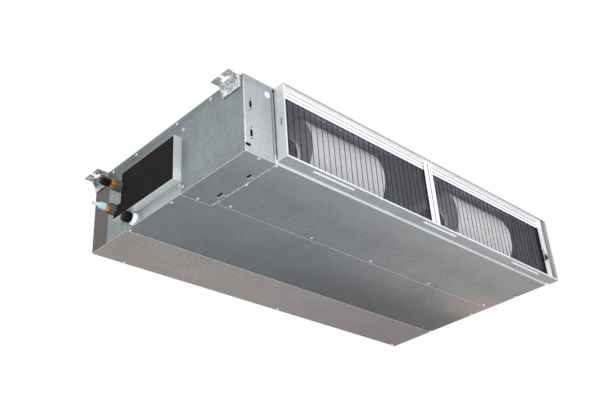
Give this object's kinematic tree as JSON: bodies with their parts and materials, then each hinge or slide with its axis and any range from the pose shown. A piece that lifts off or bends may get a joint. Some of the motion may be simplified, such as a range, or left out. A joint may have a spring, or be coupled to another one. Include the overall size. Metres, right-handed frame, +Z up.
{
  "type": "ducted air conditioner indoor unit",
  "caption": "Flat sheet-metal ceiling unit: ribbed inlet filters, twin centrifugal fans, slanted coil, duct collar, pipe and drain stubs, slotted hangers",
  "frame": {"origin": "centre of the flat underside of the casing", "axes": "+X along the length, from the pipe end to the far end; +Y from the air inlet to the duct outlet; +Z up, towards the ceiling"},
  "size_m": [1.4949, 0.774, 0.2464],
  "materials": {
    "zinc_sheet": "galvanised steel sheet, faint spangle, satin",
    "white_plastic": "white moulded plastic, satin",
    "pan_foam": "white moulded foam, dull",
    "wheel_plastic": "dark moulded plastic, dull",
    "filter_plastic": "dark moulded plastic, satin",
    "filter_mesh": "fine dark nylon net, dull",
    "motor_paint": "dark grey enamel, satin",
    "shaft_steel": "turned steel, bright",
    "fin_aluminium": "plain aluminium fins, satin",
    "copper_pipe": "plain copper tube, satin",
    "brass": "machined brass, bright",
    "cap_dark": "dark red-black plastic, satin",
    "cap_blue": "pale blue plastic, slightly see-through",
    "grommet_rubber": "grey-brown foam rubber, dull",
    "black_foam": "closed-cell foam, dull",
    "black_rubber": "moulded rubber, satin",
    "board_green": "circuit board lacquer, satin",
    "terminal_plastic": "moulded plastic, satin",
    "capacitor_grey": "aluminium can, satin"
  },
  "bodies": {
    "casing": {"air_sensor": "black_rubber", "bottom_screws": "zinc_sheet", "casing_screws": "zinc_sheet", "circuit_board": "board_green", "coil_bottom_panel": "zinc_sheet", "coil_end_panel_far_side": "zinc_sheet", "coil_end_panel_pipe_side": "zinc_sheet", "coil_plate_far_side": "zinc_sheet", "coil_plate_pipe_side": "zinc_sheet", "drain_cap": "black_rubber", "drain_pan": "pan_foam", "drain_socket": "white_plastic", "ebox_bottom_plate": "zinc_sheet", "ebox_case": "zinc_sheet", "ebox_cover": "zinc_sheet", "ebox_side_panel": "zinc_sheet", "evaporator_fins": "fin_aluminium", "fan_bottom_panel": "zinc_sheet", "fan_end_panel_far_side": "zinc_sheet", "fan_partition": "zinc_sheet", "gas_cap": "cap_dark", "gas_nut": "brass", "gas_pipe": "copper_pipe", "hanger_inlet_far_end": "zinc_sheet", "hanger_inlet_pipe_end": "zinc_sheet", "hanger_outlet_far_end": "zinc_sheet", "hanger_outlet_pipe_end": "zinc_sheet", "inlet_frame_bottom": "zinc_sheet", "inlet_frame_left": "zinc_sheet", "inlet_frame_right": "zinc_sheet", "inlet_frame_top": "zinc_sheet", "inlet_mullion": "zinc_sheet", "left_housing_lower": "white_plastic", "left_housing_upper": "white_plastic", "liquid_cap": "cap_blue", "liquid_nut": "brass", "liquid_pipe": "copper_pipe", "motor": "motor_paint", "motor_bracket": "zinc_sheet", "motor_straps": "zinc_sheet", "outlet_bottom_panel": "zinc_sheet", "outlet_collar": "zinc_sheet", "outlet_face_panel": "zinc_sheet", "pipe_cover_foam": "black_foam", "pipe_cover_tray": "zinc_sheet", "pipe_grommets": "grommet_rubber", "return_bends": "copper_pipe", "right_housing_lower": "white_plastic", "right_housing_upper": "white_plastic", "run_capacitor": "capacitor_grey", "terminal_block": "terminal_plastic", "top_insulation": "black_foam", "top_panel": "zinc_sheet"},
    "fan_rotor": {"motor_shaft": "shaft_steel", "left_fan_wheel": "wheel_plastic", "right_fan_wheel": "wheel_plastic"},
    "left_filter": {"left_filter_frame": "filter_plastic", "left_filter_net": "filter_mesh"},
    "right_filter": {"right_filter_frame": "filter_plastic", "right_filter_net": "filter_mesh"}
  },
  "joints": [
    {"name": "fan_spin", "type": "hinge", "parent": "casing", "child": "fan_rotor", "pos_m": [0, -0.205, 0.122], "axis": [1, 0, 0], "continuous": true},
    {"name": "right_filter_slide", "type": "slide", "parent": "casing", "child": "right_filter", "axis": [1, 0, 0], "range_m": [0, 1.25]},
    {"name": "left_filter_slide", "type": "slide", "parent": "casing", "child": "left_filter", "axis": [1, 0, 0], "range_m": [0, 1.25]}
  ],
  "couplings": [
    {"joint": "left_filter_slide", "follows": "right_filter_slide", "ratio": 1}
  ]
}
